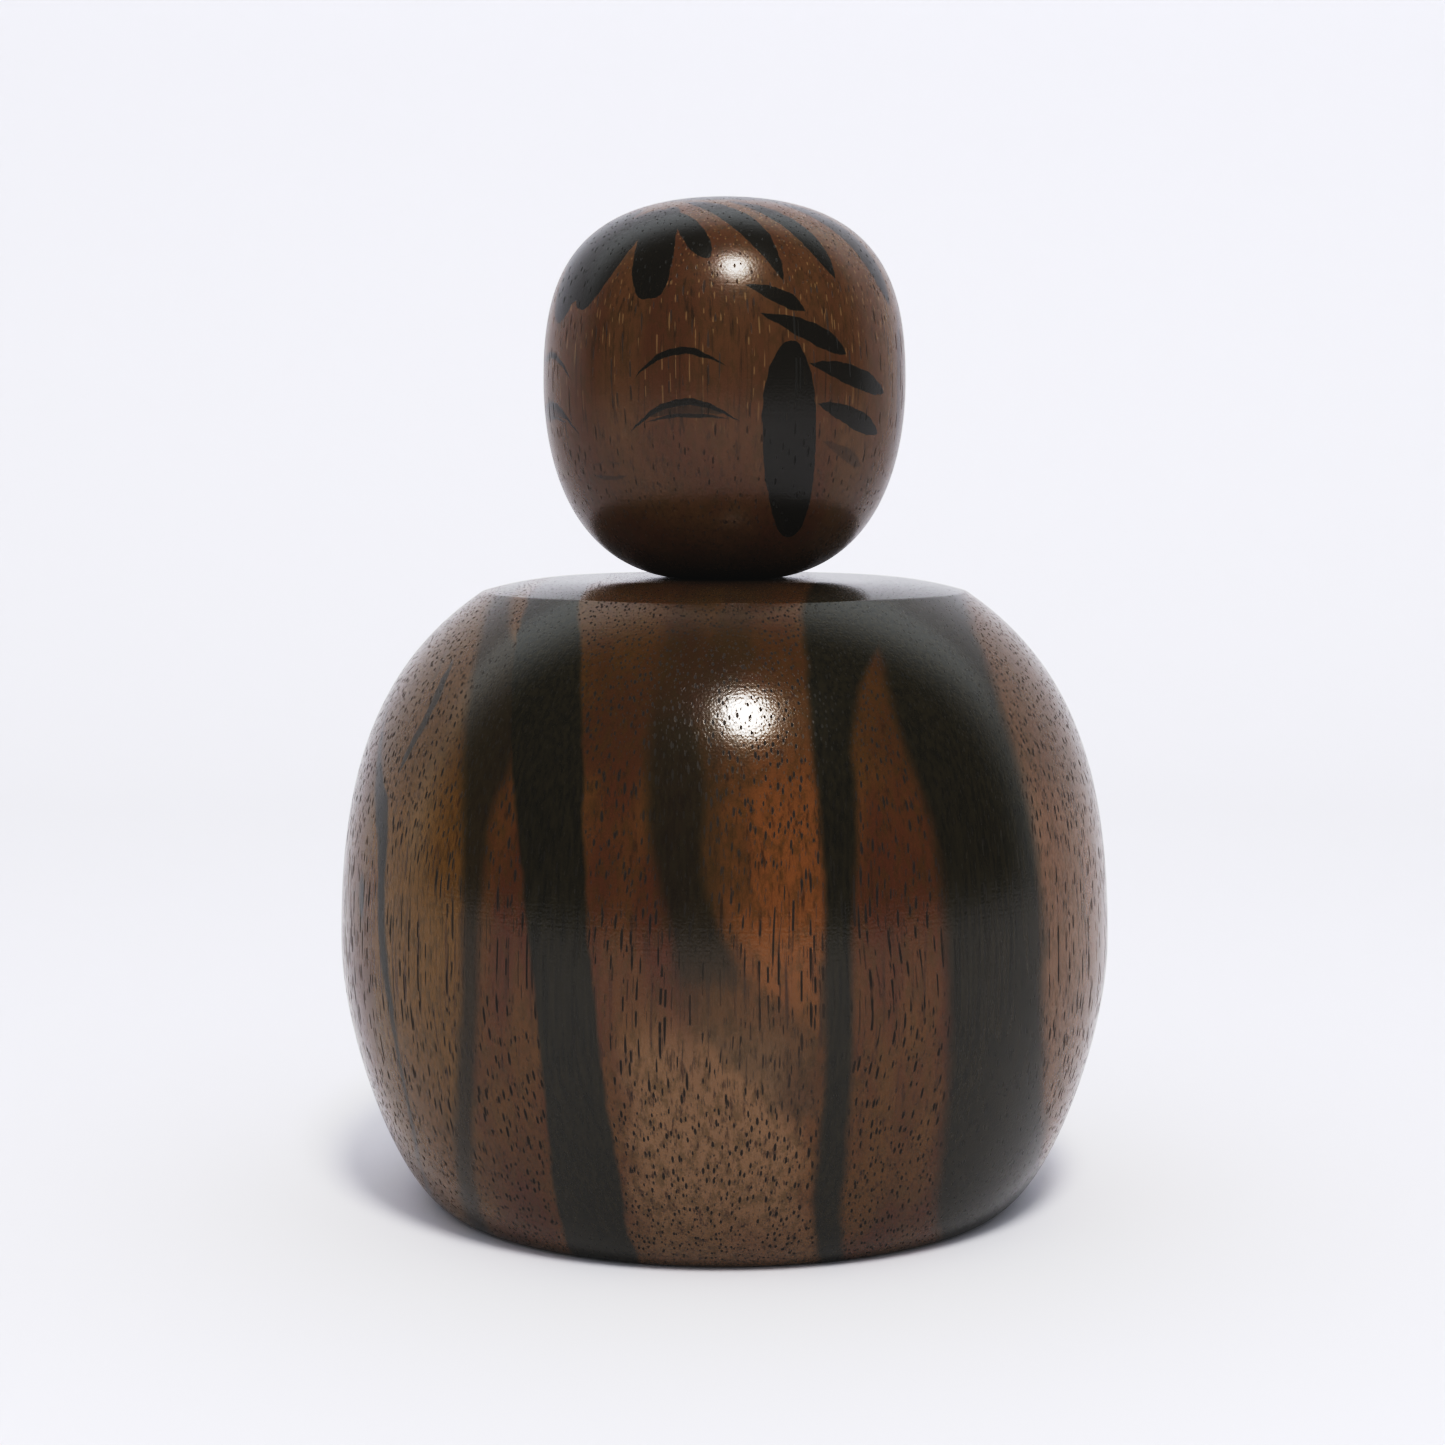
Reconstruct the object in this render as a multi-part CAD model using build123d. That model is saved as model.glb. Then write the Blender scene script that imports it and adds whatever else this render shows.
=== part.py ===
"""Kokeshi doll: a squat turned body and a turned head that squeaks round in it.

Both pieces are lathe work, so each is one closed half outline turned about the Z axis.
Millimetres, +Z up. The origin is the middle of the foot, on the surface the doll stands on.
"""

from build123d import *

import os
from math import cos, radians, sin, tan

# Body: one block of hardwood
rim_height = 73.9  # table to the sharp edge round the top
rim_radius = 29.3
belly_radius = 46.6  # the widest place
belly_height = 31.7
foot_radius = 35.2
shoulder_slope = 34.2  # degrees below level, where the shoulder leaves the rim
foot_slope = 33.0  # degrees above level, where the flank leaves the foot

# The top: level round the neck, then falling gently to the rim
top_rise = 1.65
top_level_radius = 18.0

# Underside: a ring to stand on, round a shallow turned hollow
foot_ring_width = 8.0
hollow_depth = 1.4

# Softened edges of the body
rim_round = 1.2
foot_round = 2.0
mouth_round = 0.3

# Head: turned in one with the peg under its chin
head_height = 45.4  # top of the body to the crown
head_radius = 21.8
head_widest = 23.5  # above the top of the body
chin_radius = 7.0  # where the head comes down on the body
chin_slope = 10.2  # degrees above level, where the jaw leaves the chin

# Neck peg and the swollen ring that holds it in its socket
peg_radius = 5.6
peg_length = 16.0
peg_chamfer = 0.8
ring_swell = 0.6  # how far the ring stands out from the peg
ring_half_height = 1.6
ring_depth = 9.0  # its middle, below the top of the body

# Clearances between the head and the body
turning_gap = 0.05  # all round the peg and its ring
seat_gap = 0.05  # under the chin
socket_gap = 1.0  # under the end of the peg

# Fullness of each curve: how far its end runs straight on before it bends. The first share is
# of the way out from its narrow end to its wide one, the second of the height between them.
shoulder_fullness = (0.76, 0.47)
flank_fullness = (0.52, 0.31)
crown_fullness = (0.89, 0.50)
jaw_fullness = (0.79, 0.41)


def lean(angle, reach):
    """A step that goes out from the axis by the reach, and up at the given angle."""
    return Vector(reach, reach * tan(radians(angle)))


def swept_in(narrow, wide, angle, fullness):
    """A curve that leaves its narrow end at the given angle and is upright at its wide end."""
    reach = fullness[0] * (wide.X - narrow.X)
    rise = fullness[1] * (narrow.Y - wide.Y)
    return Bezier(narrow, narrow + lean(angle, reach), wide + Vector(0, rise), wide)


def turned(outline):
    """The solid turned about the Z axis from a closed half outline, given as (radius, height)."""
    return revolve(Plane.XZ * make_face(outline), axis=Axis.Z)


def softened(solid, radius, height, amount):
    """The solid with the edge round it at that radius and height rounded off."""
    ring = [
        edge
        for edge in solid.edges().filter_by(GeomType.CIRCLE)
        if abs(edge.radius - radius) < 0.01 and abs(edge.arc_center.Z - height) < 0.01
    ]
    return fillet(ring, amount)


def swelling(radius, swell, half_height, middle):
    """A bulge on a straight turned wall, from its lower end to its upper end."""
    return ThreePointArc(
        (radius, middle - half_height),
        (radius + swell, middle),
        (radius, middle + half_height),
    )


def body():
    top = rim_height + top_rise
    rim = Vector(rim_radius, rim_height)
    belly = Vector(belly_radius, belly_height)
    foot = Vector(foot_radius, foot_round * (1 - cos(radians(foot_slope))))
    ring_outside = foot_radius - foot_round * sin(radians(foot_slope))
    ring_inside = ring_outside - foot_ring_width
    socket_radius = peg_radius + turning_gap
    socket_floor = top - peg_length - socket_gap
    groove_middle = top - ring_depth
    groove_half = ring_half_height + turning_gap

    flank = swept_in(foot, belly, foot_slope, flank_fullness)
    shoulder = swept_in(rim, belly, -shoulder_slope, shoulder_fullness)
    foot_edge = TangentArc((ring_outside, 0), foot, tangent=(1, 0))
    top_fall = TangentArc((top_level_radius, top), rim, tangent=(1, 0))
    groove = swelling(socket_radius, ring_swell, groove_half, groove_middle)
    hollow = ThreePointArc(
        (-ring_inside, 0),
        (0, hollow_depth),
        (ring_inside, 0),
    ).trim(0.5, 1)

    outline = [
        hollow,
        Line((ring_inside, 0), (ring_outside, 0)),
        foot_edge,
        flank,
        shoulder,
        top_fall,
        Line((top_level_radius, top), (socket_radius, top)),
        Line((socket_radius, top), (socket_radius, groove_middle + groove_half)),
        groove,
        Line((socket_radius, groove_middle - groove_half), (socket_radius, socket_floor)),
        Line((socket_radius, socket_floor), (0, socket_floor)),
        Line((0, socket_floor), (0, hollow_depth)),
    ]
    solid = turned(outline)
    solid = softened(solid, rim_radius, rim_height, rim_round)
    return softened(solid, socket_radius, top, mouth_round)


def head():
    seat = rim_height + top_rise
    chin = Vector(chin_radius, seat + seat_gap)
    cheek = Vector(head_radius, seat + head_widest)
    crown = Vector(0, seat + head_height)
    peg_end = seat - peg_length
    ring_middle = seat - ring_depth

    jaw = swept_in(chin, cheek, chin_slope, jaw_fullness)
    top_of_head = swept_in(crown, cheek, 0, crown_fullness)

    outline = [
        Line((0, peg_end), (peg_radius - peg_chamfer, peg_end)),
        Line((peg_radius - peg_chamfer, peg_end), (peg_radius, peg_end + peg_chamfer)),
        Line((peg_radius, peg_end + peg_chamfer), (peg_radius, ring_middle - ring_half_height)),
        swelling(peg_radius, ring_swell, ring_half_height, ring_middle),
        Line((peg_radius, ring_middle + ring_half_height), (peg_radius, chin.Y)),
        Line((peg_radius, chin.Y), chin),
        jaw,
        top_of_head,
        Line(crown, (0, peg_end)),
    ]
    return turned(outline)


os.makedirs("parts", exist_ok=True)
export_step(body(), "parts/body.step")
export_step(head(), "parts/head.step")
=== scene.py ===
from math import cos, pi, radians, sin, tan

import bmesh
import bpy
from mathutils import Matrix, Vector
from mathutils.geometry import interpolate_bezier


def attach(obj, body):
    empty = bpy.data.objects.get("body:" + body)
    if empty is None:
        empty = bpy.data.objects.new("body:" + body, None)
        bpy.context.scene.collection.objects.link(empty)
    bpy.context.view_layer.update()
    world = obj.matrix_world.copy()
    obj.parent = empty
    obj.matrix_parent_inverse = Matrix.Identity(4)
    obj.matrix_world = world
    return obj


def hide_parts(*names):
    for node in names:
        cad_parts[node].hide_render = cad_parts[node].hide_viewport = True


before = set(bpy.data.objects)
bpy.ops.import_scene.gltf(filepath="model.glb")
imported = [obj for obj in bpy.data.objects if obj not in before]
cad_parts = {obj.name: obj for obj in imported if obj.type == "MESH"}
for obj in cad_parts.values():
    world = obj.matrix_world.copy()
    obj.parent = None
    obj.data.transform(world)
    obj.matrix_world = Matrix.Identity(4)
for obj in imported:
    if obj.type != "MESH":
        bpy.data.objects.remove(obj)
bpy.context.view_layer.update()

MM = 0.001
scene = bpy.context.scene

# ---- The table and the lights -------------------------------------------------------------
# The doll stands on matt white paper that is laid flat and swept up behind it. One oval
# softbox hangs in front, high and a little to the right. The room gives soft light all
# round, but only its back half is bright enough to be mirrored.

doll_turn = 41.5  # degrees: the doll's face is turned this far to the left of the camera
across = Vector((cos(radians(doll_turn)), sin(radians(doll_turn)), 0))
away = Vector((-sin(radians(doll_turn)), cos(radians(doll_turn)), 0))


def add(tree, kind, given=(), **settings):
    """A new node in the tree. Each input is given a value or another node's output."""
    made = tree.nodes.new(kind)
    for setting, value in settings.items():
        setattr(made, setting, value)
    for key, value in dict(given).items():
        if isinstance(value, bpy.types.NodeSocket):
            tree.links.new(value, made.inputs[key])
        else:
            made.inputs[key].default_value = value
    return made


def vector(tree, operation, first, second=None):
    """The result of one sum with vectors in a node tree: a vector, or a number."""
    given = {0: first}
    if second is not None:
        given["Scale" if operation == "SCALE" else 1] = second
    result = "Value" if operation in ("DOT_PRODUCT", "LENGTH") else "Vector"
    return add(tree, "ShaderNodeVectorMath", given, operation=operation).outputs[result]


def blank(owner):
    """The node tree of a material or a world, with nothing in it yet."""
    owner.use_nodes = True
    owner.node_tree.nodes.clear()
    return owner.node_tree


def sweep_sheet(front, back, height, bend, half_width, flat_half=0.25, bend_steps=12):
    """The paper's line from its front edge, along the table and up, drawn out sideways."""
    line = [(-front, 0.0), (-flat_half, 0.0), (flat_half, 0.0), (back - bend, 0.0)]
    for step in range(1, bend_steps + 1):
        angle = step * pi / (2 * bend_steps)
        line.append((back - bend + bend * sin(angle), bend - bend * cos(angle)))
    line.append((back, height))
    points, faces = [], []
    for depth, rise in line:
        for side in (-half_width, half_width):
            points.append(across * side + away * depth + Vector((0, 0, rise)))
    for i in range(len(line) - 1):
        faces.append((2 * i, 2 * i + 1, 2 * i + 3, 2 * i + 2))
    mesh = bpy.data.meshes.new("paper_sweep")
    mesh.from_pydata(points, [], faces)
    mesh.shade_smooth()
    paper = bpy.data.objects.new("paper_sweep", mesh)
    scene.collection.objects.link(paper)
    return paper


paper_sweep = sweep_sheet(front=1.05, back=0.60, height=0.85, bend=0.22, half_width=1.9)

# Painted light: the paper glows a little where it stands up, more the higher it is, in place of
# a lamp on the backdrop
matt_paper = bpy.data.materials.new("matt_white_paper")
tree = blank(matt_paper)
place = add(tree, "ShaderNodeTexCoord").outputs["Object"]
height = add(tree, "ShaderNodeSeparateXYZ", {0: place}).outputs["Z"]
painted_backdrop_glow = add(tree, "ShaderNodeMapRange", {
    "Value": height, "From Min": 0.0, "From Max": 0.35, "To Min": 0.0, "To Max": 0.08,
}).outputs["Result"]
paper_shader = add(tree, "ShaderNodeBsdfPrincipled", {
    "Base Color": (0.80, 0.80, 0.838, 1), "Roughness": 0.9, "Specular IOR Level": 0.2,
    "Emission Color": (0.90, 0.92, 1.0, 1), "Emission Strength": painted_backdrop_glow,
})
add(tree, "ShaderNodeOutputMaterial", {0: paper_shader.outputs[0]})
paper_sweep.data.materials.append(matt_paper)

softbox_up, softbox_right, softbox_far = 54.0, 9.5, 1.5  # degrees, degrees, metres
softbox_wide, softbox_tall, softbox_watts = 0.29, 0.42, 11.5
softbox = bpy.data.objects.new("softbox", bpy.data.lights.new("softbox", "AREA"))
softbox.data.shape = "ELLIPSE"
softbox.data.size, softbox.data.size_y = softbox_wide, softbox_tall
softbox.data.energy = softbox_watts
softbox.data.color = (1.0, 0.985, 0.96)
doll_middle = Vector((0, 0, 60 * MM))
turned = radians(doll_turn + softbox_right)
towards = Vector((
    sin(turned) * cos(radians(softbox_up)),
    -cos(turned) * cos(radians(softbox_up)),
    sin(radians(softbox_up)),
))
softbox.location = doll_middle + towards * softbox_far
softbox.rotation_mode = "QUATERNION"
softbox.rotation_quaternion = (-towards).to_track_quat("-Z", "Y")
scene.collection.objects.link(softbox)

room = bpy.data.worlds.new("dim_room")
scene.world = room
tree = blank(room)
towards_back = vector(tree, "DOT_PRODUCT", add(tree, "ShaderNodeTexCoord").outputs["Generated"],
                      away)
ray = add(tree, "ShaderNodeLightPath").outputs
mirrored_room = add(tree, "ShaderNodeBackground", {
    "Color": (0.9, 0.95, 1.0, 1),
    "Strength": add(tree, "ShaderNodeMapRange", {
        "Value": towards_back, "From Min": 0.0, "From Max": 0.42, "To Min": 0.06, "To Max": 1.5,
    }, interpolation_type="SMOOTHSTEP").outputs["Result"],
})
lighting_room = add(tree, "ShaderNodeBackground", {
    "Color": (0.955, 0.965, 1.0, 1), "Strength": 0.77,
})
pale = add(tree, "ShaderNodeBackground", {"Color": (0.88, 0.89, 0.93, 1), "Strength": 1.0})
unseen = add(tree, "ShaderNodeMixShader", {
    0: ray["Is Glossy Ray"], 1: lighting_room.outputs[0], 2: mirrored_room.outputs[0],
})
seen = add(tree, "ShaderNodeMixShader", {
    0: ray["Is Camera Ray"], 1: unseen.outputs[0], 2: pale.outputs[0],
})
add(tree, "ShaderNodeOutputWorld", {0: seen.outputs[0]})

camera_far, camera_high, camera_down = 340.05, 89.36, 5.30  # mm, mm, degrees
camera = bpy.data.objects.new("camera", bpy.data.cameras.new("camera"))
camera.data.lens = 69.8
camera.data.shift_x = -0.0014
camera.data.clip_start = 0.01
camera.location = -away * camera_far * MM + Vector((0, 0, camera_high * MM))
camera.rotation_euler = (radians(90 - camera_down), 0, radians(doll_turn))
scene.collection.objects.link(camera)
scene.camera = camera

# The tone curve: deep shadows, a quick rise through the middle, soft whites
scene.view_settings.view_transform = "Standard"
scene.view_settings.use_curve_mapping = True
tone = scene.view_settings.curve_mapping
for light_in, shown in (
    (0.03, 0.0125), (0.09, 0.05), (0.2, 0.18), (0.35, 0.42), (0.6, 0.73), (0.88, 0.90),
):
    tone.curves[3].points.new(light_in, shown)
tone.curves[3].points[0].location = (0.0, 0.003)
tone.update()

# ---- The body -----------------------------------------------------------------------------
# One block of striped heartwood, turned on a lathe between the foot and the neck. Its top
# falls gently to a sharp rim, with a socket for the neck, and its foot is hollowed a little
# to stand on a ring. It is lacquered thin and clear, so the open pores of the wood show.


def straight(end):
    """A straight run of an outline, up to its end."""
    return ("VECTOR", None, None, Vector(end))


def bend(start, corner, end, share=2 / 3):
    """A bend of an outline that is drawn in towards a corner."""
    start, corner, end = Vector(start), Vector(corner), Vector(end)
    return ("FREE", start.lerp(corner, share), end.lerp(corner, share), end)


def swelling(radius, middle, half, swell, corner):
    """A ring that stands out of a straight wall: two bends, from its lower to its upper end."""
    low, peak, high = (radius, middle - half), (radius + swell, middle), (radius, middle + half)
    return [
        bend(low, (radius + swell, middle - corner), peak),
        bend(peak, (radius + swell, middle + corner), high),
    ]


def swept_in(narrow, wide, slope, fullness, upwards=True):
    """A long curve that leaves its narrow end at a slope and is upright at its wide end."""
    narrow, wide = Vector(narrow), Vector(wide)
    reach = fullness[0] * (wide.x - narrow.x)
    leaving = narrow + Vector((reach, reach * tan(radians(slope))))
    arriving = wide + Vector((0, fullness[1] * (narrow.y - wide.y)))
    if upwards:
        return ("FREE", leaving, arriving, wide)
    return ("FREE", arriving, leaving, narrow)


def half_outline(name, start, runs, fineness):
    """A half outline of a turned piece as a Bezier curve in the XZ plane. Sizes are in mm."""
    drawn = bpy.data.curves.new(name, "CURVE")
    drawn.dimensions = "3D"
    drawn.resolution_u = fineness
    spline = drawn.splines.new("BEZIER")
    spline.resolution_u = fineness
    spline.bezier_points.add(len(runs))
    points = spline.bezier_points
    for point in points:
        point.handle_left_type = point.handle_right_type = "FREE"

    def at(radius_and_height):
        return Vector((radius_and_height[0], 0, radius_and_height[1])) * MM

    points[0].co = points[0].handle_left = points[0].handle_right = at(start)
    for i, (kind, leaving, arriving, end) in enumerate(runs, 1):
        points[i].co = points[i].handle_left = points[i].handle_right = at(end)
        if kind == "VECTOR":
            points[i - 1].handle_right_type = points[i].handle_left_type = "VECTOR"
        else:
            points[i - 1].handle_right = at(leaving)
            points[i].handle_left = at(arriving)
    piece = bpy.data.objects.new(name, drawn)
    scene.collection.objects.link(piece)
    return piece


def lathe_tree():
    """Turns a half outline about the Z axis into a closed skin."""
    lathe = bpy.data.node_groups.new("lathe", "GeometryNodeTree")
    for socket, kind in (
        ("Outline", "NodeSocketGeometry"),
        ("Steps Round", "NodeSocketInt"),
        ("Crease Angle", "NodeSocketFloat"),
        ("Wood", "NodeSocketMaterial"),
    ):
        lathe.interface.new_socket(socket, in_out="INPUT", socket_type=kind)
    lathe.interface.new_socket("Turned", in_out="OUTPUT", socket_type="NodeSocketGeometry")
    given = lathe.nodes.new("NodeGroupInput").outputs

    def sum_of(operation, *values):
        return add(lathe, "ShaderNodeMath", enumerate(values), operation=operation).outputs[0]

    # A grid with one row for each point of the outline is wrapped round the axis
    line = add(lathe, "GeometryNodeCurveToMesh", {"Curve": given["Outline"]}).outputs[0]
    rows = add(lathe, "GeometryNodeAttributeDomainSize", {0: line}).outputs["Point Count"]
    columns = sum_of("ADD", given["Steps Round"], 1)
    grid = add(lathe, "GeometryNodeMeshGrid", {
        "Size X": 1, "Size Y": 1, "Vertices X": rows, "Vertices Y": columns,
    }).outputs["Mesh"]
    count = add(lathe, "GeometryNodeInputIndex").outputs[0]
    row = sum_of("FLOOR", sum_of("DIVIDE", sum_of("ADD", count, 0.5), columns))
    column = sum_of("SUBTRACT", count, sum_of("MULTIPLY", row, columns))
    on_outline = add(lathe, "GeometryNodeSampleIndex", {
        "Geometry": line,
        "Value": add(lathe, "GeometryNodeInputPosition").outputs[0],
        "Index": row,
    }, data_type="FLOAT_VECTOR", domain="POINT")
    at = add(lathe, "ShaderNodeSeparateXYZ", {0: on_outline.outputs[0]})
    angle = sum_of("MULTIPLY", sum_of("DIVIDE", column, given["Steps Round"]), 2 * pi)
    round_the_axis = add(lathe, "ShaderNodeCombineXYZ", {
        "X": sum_of("MULTIPLY", at.outputs["X"], sum_of("COSINE", angle)),
        "Y": sum_of("MULTIPLY", at.outputs["X"], sum_of("SINE", angle)),
        "Z": at.outputs["Z"],
    }).outputs[0]
    skin = add(lathe, "GeometryNodeSetPosition", {"Geometry": grid, "Position": round_the_axis})
    closed = add(lathe, "GeometryNodeMergeByDistance", {0: skin.outputs[0], "Distance": 2e-6})
    smooth = add(lathe, "GeometryNodeSetShadeSmooth", {0: closed.outputs[0]}, domain="FACE")
    edge_angle = add(lathe, "GeometryNodeInputMeshEdgeAngle").outputs["Unsigned Angle"]
    creased = add(lathe, "GeometryNodeSetShadeSmooth", {
        0: smooth.outputs[0],
        "Selection": sum_of("GREATER_THAN", edge_angle, given["Crease Angle"]),
        "Shade Smooth": False,
    }, domain="EDGE")
    real = add(lathe, "GeometryNodeRealizeInstances", {0: creased.outputs[0]})
    finished = add(lathe, "GeometryNodeSetMaterial", {
        0: real.outputs[0], "Material": given["Wood"],
    })
    lathe.links.new(finished.outputs[0], lathe.nodes.new("NodeGroupOutput").inputs[0])
    return lathe


def turn_on_lathe(outline, lathe, wood, steps_round=192, crease_angle=28):
    """The turned piece as a plain mesh with its finish, in place of its outline."""
    modifier = outline.modifiers.new("lathe", "NODES")
    modifier.node_group = lathe
    inputs = {item.name: item.identifier for item in lathe.interface.items_tree}
    modifier[inputs["Steps Round"]] = steps_round
    modifier[inputs["Crease Angle"]] = radians(crease_angle)
    modifier[inputs["Wood"]] = wood
    ready = outline.evaluated_get(bpy.context.evaluated_depsgraph_get())
    mesh = bpy.data.meshes.new_from_object(ready)
    name = outline.name.replace("_outline", "")
    outline.modifiers.clear()
    bpy.data.objects.remove(outline)
    mesh.name = name
    skin = bmesh.new()  # an outline may run up or down, so the faces are turned outwards here
    skin.from_mesh(mesh)
    bmesh.ops.recalc_face_normals(skin, faces=skin.faces)
    skin.to_mesh(mesh)
    skin.free()
    piece = bpy.data.objects.new(name, mesh)
    scene.collection.objects.link(piece)
    return piece


# Sizes in mm, heights above the table, slopes in degrees
seat, level_to = 75.55, 18.0  # the top is level round the neck, out to this radius
rim, rim_step = (29.3, 73.9), 0.19  # the step is half the width of the softened rim
belly = (46.6, 31.7)
shoulder_slope, shoulder_fullness = -34.2, (0.76, 0.47)
flank_fullness = (0.52, 0.31)
foot_round, foot_slope = 2.0, 33.0
foot = (35.2, foot_round * (1 - cos(radians(foot_slope))))
foot_corner = foot_round * tan(radians(foot_slope / 2))
ring_outside = foot[0] - foot_round * sin(radians(foot_slope))
ring_inside, hollow = ring_outside - 8.0, 1.4
socket, socket_floor, mouth = 5.65, 58.55, 0.3
groove, groove_half, groove_swell, groove_corner = 66.55, 1.65, 0.6, 0.93
top_dip = 2 * (seat - rim[1]) / (rim[0] - level_to)  # slope of the top where it meets the rim
rim_inside = (rim[0] - rim_step, rim[1] + rim_step * top_dip)
rim_outside = (rim[0] + rim_step, rim[1] + rim_step * tan(radians(shoulder_slope)))

lathe = lathe_tree()
body_outline = half_outline("kokeshi_body_outline", (0, socket_floor), [
    straight((socket, socket_floor)),
    straight((socket, groove - groove_half)),
    *swelling(socket, groove, groove_half, groove_swell, groove_corner),
    straight((socket, seat - mouth)),
    bend((socket, seat - mouth), (socket, seat), (socket + mouth, seat), share=0.55),
    straight((level_to, seat)),
    bend((level_to, seat), ((level_to + rim_inside[0]) / 2, seat), rim_inside),
    bend(rim_inside, rim, rim_outside),
    swept_in(rim_outside, belly, shoulder_slope, shoulder_fullness),
    swept_in(foot, belly, foot_slope, flank_fullness, upwards=False),
    bend(foot, (ring_outside + foot_corner, 0), (ring_outside, 0)),
    straight((ring_inside, 0)),
    bend((ring_inside, 0), (ring_inside / 2, hollow), (0, hollow)),
], fineness=30)


def arith(tree, operation, *values, clamp=False):
    """The result of one sum in a node tree."""
    return add(tree, "ShaderNodeMath", enumerate(values), operation=operation,
               use_clamp=clamp).outputs[0]


def blend(tree, share, first, second, cover=1.0):
    """A colour between two colours. The second never covers the first by more than its cover."""
    if cover < 1.0:
        share = arith(tree, "MULTIPLY", share, cover)
    first, second = (value if isinstance(value, bpy.types.NodeSocket) else (*value, 1)
                     for value in (first, second))
    return add(tree, "ShaderNodeMix", {0: share, 6: first, 7: second},
               data_type="RGBA").outputs[2]


def between(tree, value, low, high):
    """0 below the low end, 1 above the high one, and eased from one to the other."""
    return add(tree, "ShaderNodeMapRange", {
        "Value": value, "From Min": low, "From Max": high, "To Min": 0.0, "To Max": 1.0,
    }, interpolation_type="SMOOTHSTEP").outputs["Result"]


NUMBER, PLACE = "NodeSocketFloat", "NodeSocketVector"


def effect(name, places, numbers, results):
    """An empty shader node group. Returns it, its inputs and the inputs of its output."""
    group = bpy.data.node_groups.new(name, "ShaderNodeTree")
    for socket in places:
        group.interface.new_socket(socket, in_out="INPUT", socket_type=PLACE)
    for socket, preset in numbers.items():
        made = group.interface.new_socket(socket, in_out="INPUT", socket_type=NUMBER)
        made.default_value = preset
    for socket in results:
        group.interface.new_socket(socket, in_out="OUTPUT", socket_type=NUMBER)
    given = group.nodes.new("NodeGroupInput").outputs
    return group, given, group.nodes.new("NodeGroupOutput").inputs


def streak_effect():
    """One dark growth streak, between its left and its right edge across the grain."""
    group, given, out = effect("growth_streak", [], {
        "Across": 0.0, "Left Edge": 0.0, "Right Edge": 0.0, "Softness": 0.3, "Strength": 1.0,
    }, ["Mask"])
    left = arith(group, "SUBTRACT", given["Across"], given["Left Edge"])
    right = arith(group, "SUBTRACT", given["Right Edge"], given["Across"])
    soft = given["Softness"]
    hard = arith(group, "MULTIPLY", soft, -1.0)
    inside = arith(group, "MULTIPLY", between(group, left, hard, soft),
                   between(group, right, hard, soft))
    group.links.new(arith(group, "MULTIPLY", inside, given["Strength"]), out["Mask"])
    return group


def pore_effect():
    """Open vessels of the wood: fine tubes along the grain that the turned surface cuts."""
    drift_scale = (0.05, 0.05, 0.045)
    size_spread, least_size = 0.6, 0.55  # shares of the given radius
    edge_inside, edge_outside = 0.75, 1.25  # shares of a tube's own size
    apart = 97.0  # neighbours open and close at heights of their own
    shut, open_wide = 0.42, 0.5

    group, given, out = effect("vessel_pores", ["Place"], {
        "Spacing": 1.0, "Radius": 0.12, "Run": 4.0, "Wander": 2.4,
    }, ["Mask"])
    slow = vector(group, "MULTIPLY", given["Place"], drift_scale)
    drift = add(group, "ShaderNodeTexNoise", {"Vector": slow, "Scale": 1.0, "Detail": 1.0})
    drift = vector(group, "SUBTRACT", drift.outputs["Color"], (0.5, 0.5, 0.5))
    drift = vector(group, "SCALE", drift, given["Wander"])
    at = vector(group, "ADD", given["Place"], drift)
    packed = vector(group, "SCALE", at, arith(group, "DIVIDE", 1.0, given["Spacing"]))
    tubes = add(group, "ShaderNodeTexVoronoi", {"Vector": packed, "Scale": 1.0},
                voronoi_dimensions="2D")
    chance = add(group, "ShaderNodeSeparateColor", {0: tubes.outputs["Color"]})
    size = arith(group, "MULTIPLY_ADD", chance.outputs[0], size_spread, least_size)
    size = arith(group, "DIVIDE", arith(group, "MULTIPLY", size, given["Radius"]),
                 given["Spacing"])
    edge = arith(group, "DIVIDE", tubes.outputs["Distance"], size)
    cut = arith(group, "SUBTRACT", 1.0, between(group, edge, edge_inside, edge_outside))
    height = add(group, "ShaderNodeSeparateXYZ", {0: given["Place"]}).outputs["Z"]
    along = arith(group, "DIVIDE", height, given["Run"])
    along = arith(group, "MULTIPLY_ADD", chance.outputs[1], apart, along)
    open_here = add(group, "ShaderNodeTexNoise", {"W": along, "Scale": 1.0, "Detail": 0.0},
                    noise_dimensions="1D").outputs[0]
    open_here = between(group, open_here, shut, open_wide)
    group.links.new(arith(group, "MULTIPLY", cut, open_here), out["Mask"])
    return group


def fibre_effect():
    """Fine silky lines along the grain, slow cloudy changes of colour and a close mottle."""
    cloud_scale, mottle_scale = (0.14, 0.14, 0.03), (1.1, 1.1, 0.45)

    group, given, out = effect("wood_fibre", ["Place"], {"Width": 0.5, "Length": 14.0},
                               ["Lines", "Clouds", "Mottle"])
    across_scale = arith(group, "DIVIDE", 1.0, given["Width"])
    line_scale = add(group, "ShaderNodeCombineXYZ", {
        "X": across_scale, "Y": across_scale, "Z": arith(group, "DIVIDE", 1.0, given["Length"]),
    }).outputs[0]
    for result, scale, roughness in (
        ("Lines", line_scale, 0.6), ("Clouds", cloud_scale, 0.55), ("Mottle", mottle_scale, 0.7),
    ):
        noise = add(group, "ShaderNodeTexNoise", {
            "Vector": vector(group, "MULTIPLY", given["Place"], scale),
            "Scale": 1.0, "Detail": 3.0, "Roughness": roughness,
        }).outputs[0]
        group.links.new(noise, out[result])
    return group


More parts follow.
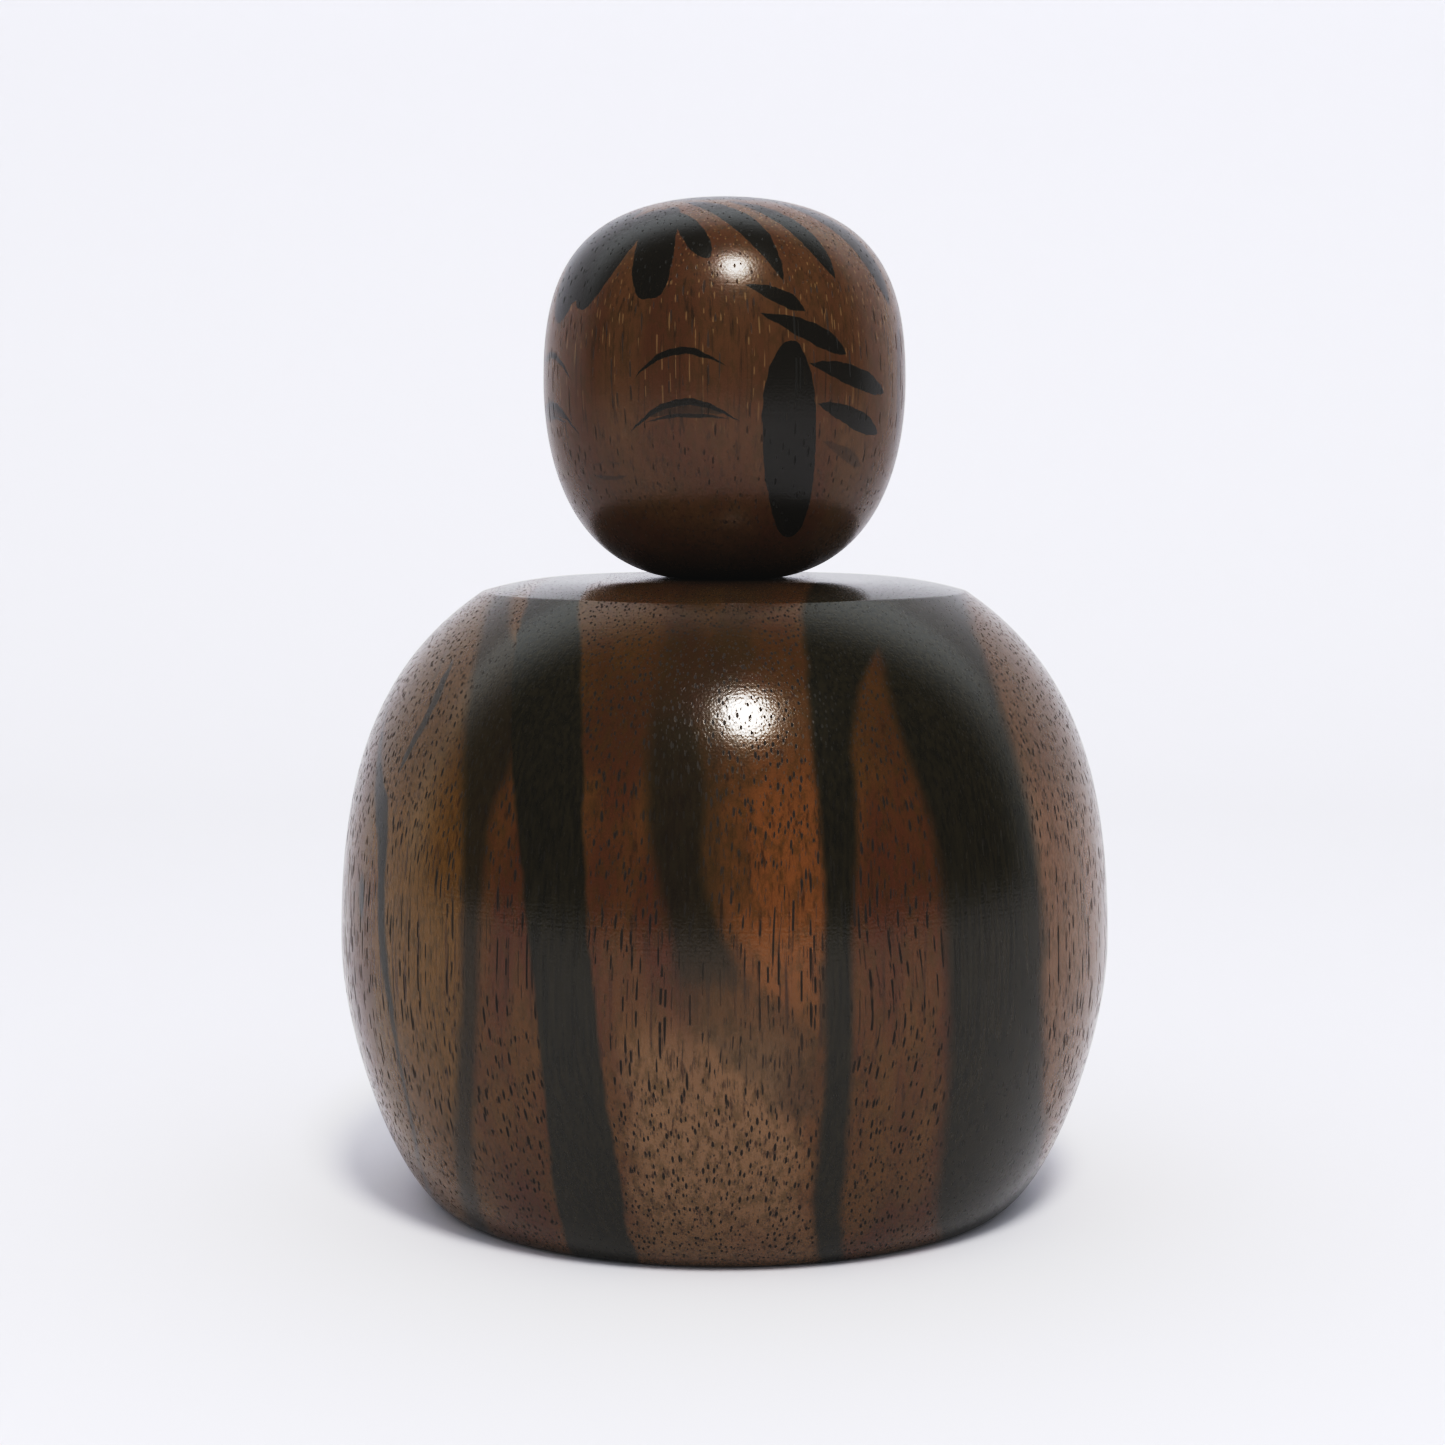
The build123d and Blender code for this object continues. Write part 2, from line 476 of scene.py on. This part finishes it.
def tool_mark_effect():
    """What the lathe and the lacquer leave: fine rings round the piece, ripple and grit."""
    ring_height, ripple_height, grit_height = 0.16, 0.22, 0.30
    ripple_scale, grit_scale = 0.8, 3.6

    group, given, out = effect("lathe_and_lacquer", ["Place"], {"Ring Pitch": 0.5}, ["Height"])
    z = add(group, "ShaderNodeSeparateXYZ", {0: given["Place"]}).outputs["Z"]
    rings = add(group, "ShaderNodeTexNoise", {
        "W": arith(group, "DIVIDE", z, given["Ring Pitch"]), "Scale": 1.0, "Detail": 2.0,
    }, noise_dimensions="1D").outputs[0]
    ripple = add(group, "ShaderNodeTexNoise", {
        "Vector": given["Place"], "Scale": ripple_scale, "Detail": 1.0,
    }).outputs[0]
    grit = add(group, "ShaderNodeTexNoise", {
        "Vector": given["Place"], "Scale": grit_scale, "Detail": 0.0,
    }).outputs[0]
    height = arith(group, "MULTIPLY_ADD", rings, ring_height,
                   arith(group, "MULTIPLY", ripple, ripple_height))
    height = arith(group, "MULTIPLY_ADD", grit, grit_height, height)
    group.links.new(height, out["Height"])
    return group


growth_streak = streak_effect()
vessel_pores = pore_effect()
wood_fibre = fibre_effect()
lathe_and_lacquer = tool_mark_effect()


def placed(tree, group, given):
    """The results of a shared effect, placed in a material with its own values."""
    return add(tree, "ShaderNodeGroup", given, node_tree=group).outputs


def drawn_line(tree, along, points, low, high, length=90.0):
    """A line drawn through listed points: its value at each height along the grain, joined
    smoothly.
    """
    share = arith(tree, "DIVIDE", along, length, clamp=True)
    curve = tree.nodes.new("ShaderNodeFloatCurve")
    tree.links.new(share, curve.inputs["Value"])
    line = curve.mapping.curves[0]
    points = sorted((up / length, (at - low) / (high - low)) for up, at in points)
    first, last = points[0], points[-1]
    points = [(0.0, first[1])] * (first[0] > 0) + points + [(1.0, last[1])] * (last[0] < 1)
    while len(line.points) < len(points):
        line.points.new(0.5, 0.5)
    for point, (x, y) in zip(line.points, points):
        point.location = (x, y)
        point.handle_type = "AUTO"
    curve.mapping.update()
    return arith(tree, "MULTIPLY_ADD", curve.outputs[0], high - low, low)


striped_wood = bpy.data.materials.new("striped_heartwood")
tree = blank(striped_wood)

# Millimetres, turned so that X runs straight across the streaks
place = add(tree, "ShaderNodeMapping", {
    "Vector": add(tree, "ShaderNodeTexCoord").outputs["Object"],
    "Rotation": (0, 0, -radians(doll_turn)), "Scale": (1 / MM,) * 3,
}).outputs[0]
xyz = add(tree, "ShaderNodeSeparateXYZ", {0: place}).outputs

# The rings of the tree are nearly flat sheets through the block: their middle is far to the
# left. The grain leans a little towards the back, and the sheets wave.
pith_far, grain_lean, grain_start = 160.0, 0.25, 10.0
ring_wave = 1.2
flat = add(tree, "ShaderNodeCombineXYZ", {
    "X": arith(tree, "ADD", xyz["X"], pith_far), "Y": xyz["Y"],
}).outputs[0]
ring = arith(tree, "SUBTRACT", vector(tree, "LENGTH", flat), pith_far)
wave = add(tree, "ShaderNodeTexNoise", {
    "Vector": vector(tree, "MULTIPLY", place, (0.16, 0.16, 0.07)),
    "Scale": 1.0, "Detail": 3.0, "Roughness": 0.6,
}).outputs[0]
ring = arith(tree, "ADD", ring, arith(tree, "MULTIPLY_ADD", wave, ring_wave, -ring_wave / 2))
leaning = arith(tree, "MULTIPLY_ADD", xyz["Y"], grain_lean, grain_start)
up_grain = arith(tree, "ADD", xyz["Z"], leaning)
flame = add(tree, "ShaderNodeTexNoise", {
    "Vector": vector(tree, "MULTIPLY", place, (0.32, 0.32, 0.16)),
    "Scale": 1.0, "Detail": 4.0, "Roughness": 0.6,
}).outputs[0]
flame = arith(tree, "SUBTRACT", flame, 0.5)

# Each streak: the height along the grain and the place across it, for both of its edges
streaks = {
    "far_left": dict(
        left=[(26, -34.6), (40, -36.9), (50, -37.5), (56, -38.7), (61, -39.2)],
        right=[(10, -33.4), (26, -34.1), (40, -35.6), (55, -36.3), (60, -38.2)],
        softness=0.3, strength=1.0),
    "slant_line": dict(
        left=[(57, -35.2), (60, -34.5), (66, -31.6), (70, -30.4), (73, -29.2)],
        right=[(57, -35.6), (60, -33.8), (66, -30.6), (70, -29.6), (73, -29.5)],
        softness=0.15, strength=0.9),
    "slant_hair": dict(
        left=[(68, -32.5), (70, -31.9), (73, -31.0), (75, -30.2)],
        right=[(68, -32.6), (70, -31.6), (73, -30.7), (75, -30.4)],
        softness=0.15, strength=0.5),
    "bark_nick": dict(
        left=[(41, -39.9), (43, -40.6), (46, -40.7), (48, -40.1)],
        right=[(41, -40.1), (43, -39.7), (46, -39.8), (48, -40.3)],
        softness=0.1, strength=1.0),
    "left_line": dict(
        left=[(11, -27.7), (23, -25.2), (42, -23.8), (58, -25.1), (66, -25.6), (76, -26.5)],
        right=[(11, -24.8), (23, -22.6), (42, -21.1), (53, -20.3), (57, -18.7), (64, -18.4),
               (70, -19.4), (76, -22.8)],
        softness=0.9, strength=0.85),
    "left_band": dict(
        left=[(5, -14.0), (23, -14.0), (39, -15.3), (55, -18.0), (64, -19.8), (70, -20.8),
              (76, -21.2)],
        right=[(4, -5.8), (23, -6.6), (35, -7.8), (54, -9.4), (72, -12.7), (76, -14.0)],
        softness=0.35, strength=1.0),
    "middle_patch": dict(
        left=[(33, 1.5), (39, 0.6), (44, -0.8), (57, -2.6), (64, -3.0)],
        right=[(33, 8.5), (39, 6.0), (44, 4.7), (54, 4.0), (64, 2.2)],
        softness=1.1, strength=0.88,
        fade=[(20, 0.0), (31, 0.35), (38, 1.0), (58, 0.9), (68, 0.35)]),
    "patch_tail": dict(
        left=[(17, 14.0), (20, 11.2), (30, 2.2), (37, 1.5)],
        right=[(17, 13.5), (20, 16.5), (28, 16.0), (34, 8.6), (37, 8.0)],
        softness=2.4, strength=0.36, wobble=9.0),
    "right_line": dict(
        left=[(4, 13.9), (23, 16.4), (35, 16.5), (51, 15.5), (69, 12.5), (76, 11.3)],
        right=[(4, 16.8), (23, 19.2), (35, 19.3), (51, 19.2), (64, 18.1), (68, 18.5),
               (72, 20.0), (78, 21.0)],
        softness=0.6, strength=1.0),
    "right_band": dict(
        left=[(10, 26.6), (23, 28.4), (36, 28.4), (49, 26.9), (58, 23.9), (65, 21.5),
              (70, 20.0), (73, 18.6)],
        right=[(17, 38.2), (30, 38.1), (47, 37.5), (57, 35.3), (64, 33.3), (72, 31.0),
               (77, 29.2)],
        softness=0.9, strength=1.0),
}
streak_wobble, zone_wobble = 0.9, 6.0
half_span = 50.0  # mm across the grain, a little more than the body's radius


def laid(drawn, wobble, strength):
    """How much of a drawn streak or zone there is at each place in the block."""
    left, right = (drawn_line(tree, up_grain, drawn[side], -half_span, half_span)
                   for side in ("left", "right"))
    return placed(tree, growth_streak, {
        "Across": arith(tree, "MULTIPLY_ADD", flame, wobble, ring),
        "Left Edge": left, "Right Edge": right, "Softness": drawn["softness"],
        "Strength": strength,
    })["Mask"]


dark_share = None
for streak in streaks.values():
    strength = streak["strength"]
    if "fade" in streak:
        fade = drawn_line(tree, up_grain, streak["fade"], 0.0, 1.0)
        strength = arith(tree, "MULTIPLY", fade, strength)
    mask = laid(streak, streak.get("wobble", streak_wobble), strength)
    dark_share = mask if dark_share is None else arith(tree, "MAXIMUM", dark_share, mask)

fibre = placed(tree, wood_fibre, {"Place": place})
pores = placed(tree, vessel_pores, {
    "Place": place, "Spacing": 0.62, "Radius": 0.135, "Run": 3.0, "Wander": 3.6,
})["Mask"]
fine_pores = placed(tree, vessel_pores, {
    "Place": place, "Spacing": 0.42, "Radius": 0.075, "Run": 1.8, "Wander": 3.6,
})["Mask"]
fine_share, filled_in_streaks = 0.55, 0.75
pores = arith(tree, "MAXIMUM", pores, arith(tree, "MULTIPLY", fine_pores, fine_share))
pores = arith(tree, "MULTIPLY", pores,
              arith(tree, "MULTIPLY_ADD", dark_share, -filled_in_streaks, 1.0))


def clouded(tree, fibre, reddish, golden):
    """Brown that turns from reddish to golden in slow clouds."""
    return blend(tree, between(tree, fibre["Clouds"], 0.36, 0.64), reddish, golden)


def figured(tree, fibre, brown, mottle, mottle_cover, line):
    """Brown with a close dull mottle and fine darker lines along the grain."""
    brown = blend(tree, between(tree, fibre["Mottle"], 0.44, 0.66), brown, mottle,
                  cover=mottle_cover)
    return blend(tree, between(tree, fibre["Lines"], 0.52, 0.75), brown, line)


# Brown between the streaks: orange in one warm band, golden at the far left and pale at the far
# right.
# The lower front is painted pale as painted light from the white table below it, and the
# shoulder is painted duller as painted shade where less light reaches the top.
brown = clouded(tree, fibre, (0.084, 0.034, 0.016), (0.108, 0.056, 0.019))
zones = {
    "warm": dict(
        left=[(20, 5.0), (40, 8.0), (65, 6.0)], right=[(20, 17.0), (70, 17.0)],
        fade=[(15, 0.25), (30, 0.6), (40, 1.0), (54, 0.9), (66, 0.2)],
        softness=3.5, color=(0.160, 0.074, 0.025)),
    "golden": dict(
        left=[(10, -38.5), (70, -38.5)], right=[(10, -24.0), (70, -22.0)],
        fade=[(10, 0.6), (40, 1.0), (66, 0.8)],
        softness=3.0, color=(0.130, 0.073, 0.022)),
    # Painted light: the lower front is made paler, as lit from the white table below
    "pale": dict(
        left=[(5, -5.0), (30, -4.0)], right=[(5, 13.0), (30, 14.0)],
        fade=[(2, 0.5), (12, 0.9), (24, 0.75), (33, 0.0)],
        softness=3.0, color=(0.185, 0.118, 0.067)),
    "far_right": dict(
        left=[(5, 33.0), (80, 30.0)], right=[(5, 55.0), (80, 55.0)],
        fade=[(5, 0.8), (60, 0.8), (80, 0.5)],
        softness=3.0, color=(0.150, 0.088, 0.050)),
    # Painted shade: the shoulder is darkened all round, where less light reaches the top
    "shoulder": dict(
        left=[(5, -50.0), (80, -50.0)], right=[(5, 50.0), (80, 50.0)],
        fade=[(50, 0.0), (62, 0.45), (80, 0.5)],
        softness=1.0, color=(0.054, 0.030, 0.011)),
}
for zone in zones.values():
    strength = drawn_line(tree, up_grain, zone["fade"], 0.0, 1.0)
    brown = blend(tree, laid(zone, zone_wobble, strength), brown, zone["color"])
brown = figured(tree, fibre, brown, mottle=(0.066, 0.040, 0.012), mottle_cover=0.5,
                line=(0.055, 0.027, 0.013))
dark = blend(tree, between(tree, fibre["Lines"], 0.3, 0.7),
             (0.017, 0.015, 0.009), (0.030, 0.025, 0.014))
wood = blend(tree, dark_share, brown, dark)
wood = blend(tree, pores, wood, (0.012, 0.008, 0.006), cover=0.88)


def lacquered(tree, place, wood, pores, pore_depth, gloss, pore_roughness):
    """A thin clear lacquer over the wood. It sinks into the pores and is rougher there."""
    marks = placed(tree, lathe_and_lacquer, {"Place": place})["Height"]
    surface = add(tree, "ShaderNodeBump", {
        "Strength": 1.0, "Distance": 0.03 * MM,
        "Height": arith(tree, "MULTIPLY_ADD", pores, -pore_depth, marks),
    })
    lacquer = add(tree, "ShaderNodeBsdfPrincipled", {
        "Base Color": wood, "IOR": 1.5,
        "Roughness": arith(tree, "MULTIPLY_ADD", pores, pore_roughness, gloss),
        "Normal": surface.outputs[0],
    })
    add(tree, "ShaderNodeOutputMaterial", {0: lacquer.outputs[0]})


lacquered(tree, place, wood, pores, pore_depth=0.17, gloss=0.17, pore_roughness=0.6)
kokeshi_body = turn_on_lathe(body_outline, lathe, striped_wood)
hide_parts("body")
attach(kokeshi_body, "body")

# ---- The head -----------------------------------------------------------------------------
# A second piece of the same wood, turned with its neck peg in one. The swollen ring on the
# peg snaps into the socket's groove, so the head stays on and squeaks as it is turned. The
# hair and the face are painted on in black, and lacquered over.

cheek_out, cheek_up, chin_gap = 21.8, 23.5, 0.05
crown, cheek, chin = (0, seat + 45.4), (cheek_out, seat + cheek_up), (7.0, seat + chin_gap)
jaw_slope, jaw_fullness = 10.2, (0.79, 0.41)
crown_slope, crown_fullness = 0.0, (0.89, 0.50)
peg, peg_end, chamfer = 5.6, seat - 16.0, 0.8
swell_middle, swell_half, swell, swell_corner = seat - 9.0, 1.6, 0.6, 0.9
jaw = (chin, cheek, jaw_slope, jaw_fullness)
top_of_head = (crown, cheek, crown_slope, crown_fullness)
head_outline = half_outline("kokeshi_head_outline", (0, peg_end), [
    straight((peg - chamfer, peg_end)),
    straight((peg, peg_end + chamfer)),
    straight((peg, swell_middle - swell_half)),
    *swelling(peg, swell_middle, swell_half, swell, swell_corner),
    straight((peg, chin[1])),
    straight(chin),
    swept_in(*jaw),
    swept_in(*top_of_head, upwards=False),
], fineness=44)


def on_head(turn, up, steps=300):
    """A place on the skin: degrees round from the middle of the face, mm above the seat."""
    curve = jaw if up < cheek_up else top_of_head
    _, leaving, arriving, end = swept_in(*curve)
    line = interpolate_bezier(Vector(curve[0]), leaving, arriving, end, steps)
    height = seat + up
    radius = min(line, key=lambda point: abs(point.y - height)).x
    return Vector((radius * sin(radians(turn)), -radius * cos(radians(turn)), height))


def stroke_effect():
    """One stroke of the brush: it swells from a thin start to its belly, and thins again."""
    soft_edge = 0.12

    group, given, out = effect("brush_stroke", [
        "Place", "Start", "Along", "Sideways", "Outward",
    ], {
        "Bow": 0.0, "Half Width": 1.0, "Belly": 0.5, "Thin Start": 1.0, "Thin End": 1.0,
        "Ink": 1.0,
    }, ["Mask"])
    from_start = vector(group, "SUBTRACT", given["Place"], given["Start"])
    share = arith(group, "ADD", vector(group, "DOT_PRODUCT", from_start, given["Along"]), 0.0,
                  clamp=True)
    left = arith(group, "SUBTRACT", 1.0, share)
    arch = arith(group, "MULTIPLY", arith(group, "MULTIPLY", share, left), 4.0)
    off = arith(group, "SUBTRACT", vector(group, "DOT_PRODUCT", from_start, given["Sideways"]),
                arith(group, "MULTIPLY", arch, given["Bow"]))
    rise = arith(group, "DIVIDE", share, given["Belly"], clamp=True)
    rise = arith(group, "MULTIPLY", rise, arith(group, "SUBTRACT", 2.0, rise))
    fall = arith(group, "DIVIDE", left, arith(group, "SUBTRACT", 1.0, given["Belly"]),
                 clamp=True)
    fall = arith(group, "MULTIPLY", fall, arith(group, "SUBTRACT", 2.0, fall))
    width = arith(group, "MULTIPLY", arith(group, "POWER", rise, given["Thin Start"]),
                  arith(group, "POWER", fall, given["Thin End"]))
    width = arith(group, "MULTIPLY", width, given["Half Width"])
    inside = arith(group, "SUBTRACT", width, arith(group, "ABSOLUTE", off))
    near_side = vector(group, "DOT_PRODUCT", given["Place"], given["Outward"])
    near_side = arith(group, "GREATER_THAN", near_side, 0.0)
    mask = arith(group, "MULTIPLY", between(group, inside, 0.0, soft_edge), near_side)
    group.links.new(arith(group, "MULTIPLY", mask, given["Ink"]), out["Mask"])
    return group


brush_stroke = stroke_effect()
head_middle = Vector((0, 0, seat + 22.0))


def painted(tree, place, start, end, bow, half_width, belly, thins, ink=1.0):
    """A brush stroke on the head from one place to another, bowed up or to the doll's left."""
    start, end = on_head(*start) - head_middle, on_head(*end) - head_middle
    along = end - start
    outward = (start + end).normalized()
    return placed(tree, brush_stroke, {
        "Place": place, "Start": start, "Along": along / along.length_squared,
        "Sideways": outward.cross(along).normalized(), "Outward": outward, "Bow": bow,
        "Half Width": half_width, "Belly": belly, "Thin Start": thins[0], "Thin End": thins[1],
        "Ink": ink,
    })["Mask"]


painted_wood = bpy.data.materials.new("painted_heartwood")
tree = blank(painted_wood)
place = add(tree, "ShaderNodeMapping", {
    "Vector": add(tree, "ShaderNodeTexCoord").outputs["Object"],
    "Scale": (1 / MM,) * 3,
}).outputs[0]
fibre = placed(tree, wood_fibre, {"Place": place, "Width": 0.4})
pores = placed(tree, vessel_pores, {
    "Place": place, "Spacing": 0.8, "Radius": 0.11, "Run": 2.6, "Wander": 3.0,
})["Mask"]
brown = clouded(tree, fibre, (0.086, 0.038, 0.017), (0.102, 0.053, 0.022))
brown = figured(tree, fibre, brown, mottle=(0.062, 0.038, 0.013), mottle_cover=0.45,
                line=(0.046, 0.024, 0.012))

# Two hair-thin growth lines run up the doll's left side, in front only
side_out = vector(tree, "DOT_PRODUCT", place, across)
front_out = vector(tree, "DOT_PRODUCT", place, -away)
height = add(tree, "ShaderNodeSeparateXYZ", {0: place}).outputs["Z"]
above_seat = arith(tree, "SUBTRACT", height, seat)
for left, right in ((20.35, 20.75), (21.15, 21.35)):
    growth_line = placed(tree, growth_streak, {
        "Across": side_out, "Left Edge": left, "Right Edge": right, "Softness": 0.15,
        "Strength": arith(tree, "MULTIPLY", between(tree, above_seat, 12.0, 16.0),
                          between(tree, front_out, 3.5, 6.0)),
    })["Mask"]
    brown = blend(tree, growth_line, brown, (0.022, 0.010, 0.008), cover=0.75)

# Painted glints: short pale dashes along the grain, more towards the crown, where the cut fibres
# catch the light
painted_glints = placed(tree, vessel_pores, {
    "Place": place, "Spacing": 0.6, "Radius": 0.09, "Run": 1.9, "Wander": 2.0,
})["Mask"]
painted_glints = arith(tree, "MULTIPLY", painted_glints, between(tree, above_seat, 14.0, 26.0))
brown = blend(tree, painted_glints, brown, (0.23, 0.16, 0.08), cover=0.5)
wood = blend(tree, pores, brown, (0.020, 0.012, 0.008), cover=0.6)

# The brush wavers a little. Apart from the two strokes of the forelock on the doll's right,
# the painting is the same on both sides of the face: its strokes are laid on the doll's left,
# and the other side reads their mirror image.
unsteadiness = 0.5  # mm
waver = add(tree, "ShaderNodeTexNoise", {"Vector": place, "Scale": 0.7, "Detail": 2.0})
waver = vector(tree, "SUBTRACT", waver.outputs["Color"], (0.5, 0.5, 0.5))
waver = vector(tree, "SCALE", waver, unsteadiness)
hand = vector(tree, "SUBTRACT", vector(tree, "ADD", place, waver), head_middle)
parts = add(tree, "ShaderNodeSeparateXYZ", {0: hand}).outputs
mirrored = add(tree, "ShaderNodeCombineXYZ", {
    "X": arith(tree, "ABSOLUTE", parts["X"]), "Y": parts["Y"], "Z": parts["Z"],
}).outputs[0]

# Each stroke: start and end (degrees round, mm up), bow, half width, belly, thin ends, ink
forelock = {
    "parting": ((8, 43.0), (-11, 31.5), 0.0, 3.0, 0.55, (0.4, 0.45)),
    "lock": ((-20, 43.0), (-24, 30.0), 0.0, 3.6, 0.55, (0.4, 0.5)),
}
face = {
    "eyebrow": ((12.5, 22.9), (43.5, 24.2), 2.75, 0.47, 0.55, (1.0, 1.3)),
    "eye_line": ((10.5, 17.0), (47.5, 18.1), 3.3, 0.46, 0.5, (0.8, 0.9)),
    "lower_line": ((16.0, 18.3), (43.5, 18.7), 0.75, 0.30, 0.5, (0.9, 0.9), 0.95),
    "eye": ((17.5, 18.9), (41.5, 19.3), 1.1, 0.85, 0.5, (0.9, 0.9), 0.55),
    "nose_bridge": ((1.2, 18.4), (0.4, 16.0), 0.0, 0.16, 0.5, (0.7, 0.7), 0.4),
    "nose_tip": ((0.5, 14.3), (6.5, 13.8), -0.4, 0.22, 0.5, (0.8, 0.8), 0.4),
    "mouth": ((-8.5, 12.4), (8.5, 12.4), -0.3, 0.32, 0.5, (0.8, 0.8), 0.55),
}
hair = {
    "side_lock": ((61.5, 27.6), (69.0, 5.2), -0.9, 3.35, 0.38, (0.5, 0.44)),
    "wisp_1": ((47.5, 33.9), (67.2, 30.9), 0.2, 0.95, 0.66, (1.1, 0.8)),
    "wisp_2": ((51.5, 30.6), (81.5, 26.2), 0.2, 1.2, 0.66, (1.1, 0.7)),
    "wisp_3": ((67.5, 25.1), (100, 21.9), 0.2, 1.25, 0.6, (0.9, 0.6)),
    "wisp_4": ((70.5, 20.6), (98, 17.2), 0.2, 1.2, 0.62, (0.9, 0.6)),
    "wisp_5": ((73, 16.4), (92, 13.4), 0.2, 0.75, 0.6, (1.1, 0.6), 0.45),
    "fringe_1": ((11.5, 43.4), (17.5, 32.3), 0.0, 2.55, 0.66, (0.5, 0.30)),
    "fringe_2": ((13, 42.9), (36.0, 36.9), 0.1, 1.4, 0.68, (0.8, 0.5)),
    "fringe_3": ((14, 44.1), (61, 34.3), 0.8, 1.6, 0.55, (0.6, 0.9)),
    "fringe_4": ((44, 44.1), (80.5, 34.7), 0.5, 1.35, 0.62, (0.6, 0.8)),
    "side_1": ((76, 44.4), (109, 32.2), 0.3, 2.1, 0.64, (0.6, 0.7)),
    "side_2": ((106, 44.4), (133, 28.0), 0.3, 2.2, 0.64, (0.6, 0.7)),
    "back_1": ((137, 44.4), (154, 24.0), 0.3, 2.3, 0.64, (0.6, 0.7)),
    "back_2": ((164, 44.4), (171, 21.0), 0.2, 2.2, 0.64, (0.6, 0.7)),
}

# The strokes of the hair start from a round cap of black on the crown
cap_radius, cap_edge, above_middle = 8.8, 9.4, 10.0
from_top = vector(tree, "LENGTH", add(tree, "ShaderNodeCombineXYZ", {
    "X": parts["X"], "Y": parts["Y"],
}).outputs[0])
ink = arith(tree, "MULTIPLY", between(tree, from_top, cap_edge, cap_radius),
            arith(tree, "GREATER_THAN", parts["Z"], above_middle))
for side, strokes in ((hand, forelock), (mirrored, face | hair)):
    for stroke in strokes.values():
        ink = arith(tree, "MAXIMUM", ink, painted(tree, side, *stroke))
wood = blend(tree, ink, wood, (0.012, 0.012, 0.009), cover=0.94)

lacquered(tree, place, wood, pores, pore_depth=0.45, gloss=0.26, pore_roughness=0.4)
kokeshi_head = turn_on_lathe(head_outline, lathe, painted_wood)
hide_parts("head")
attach(kokeshi_head, "head")
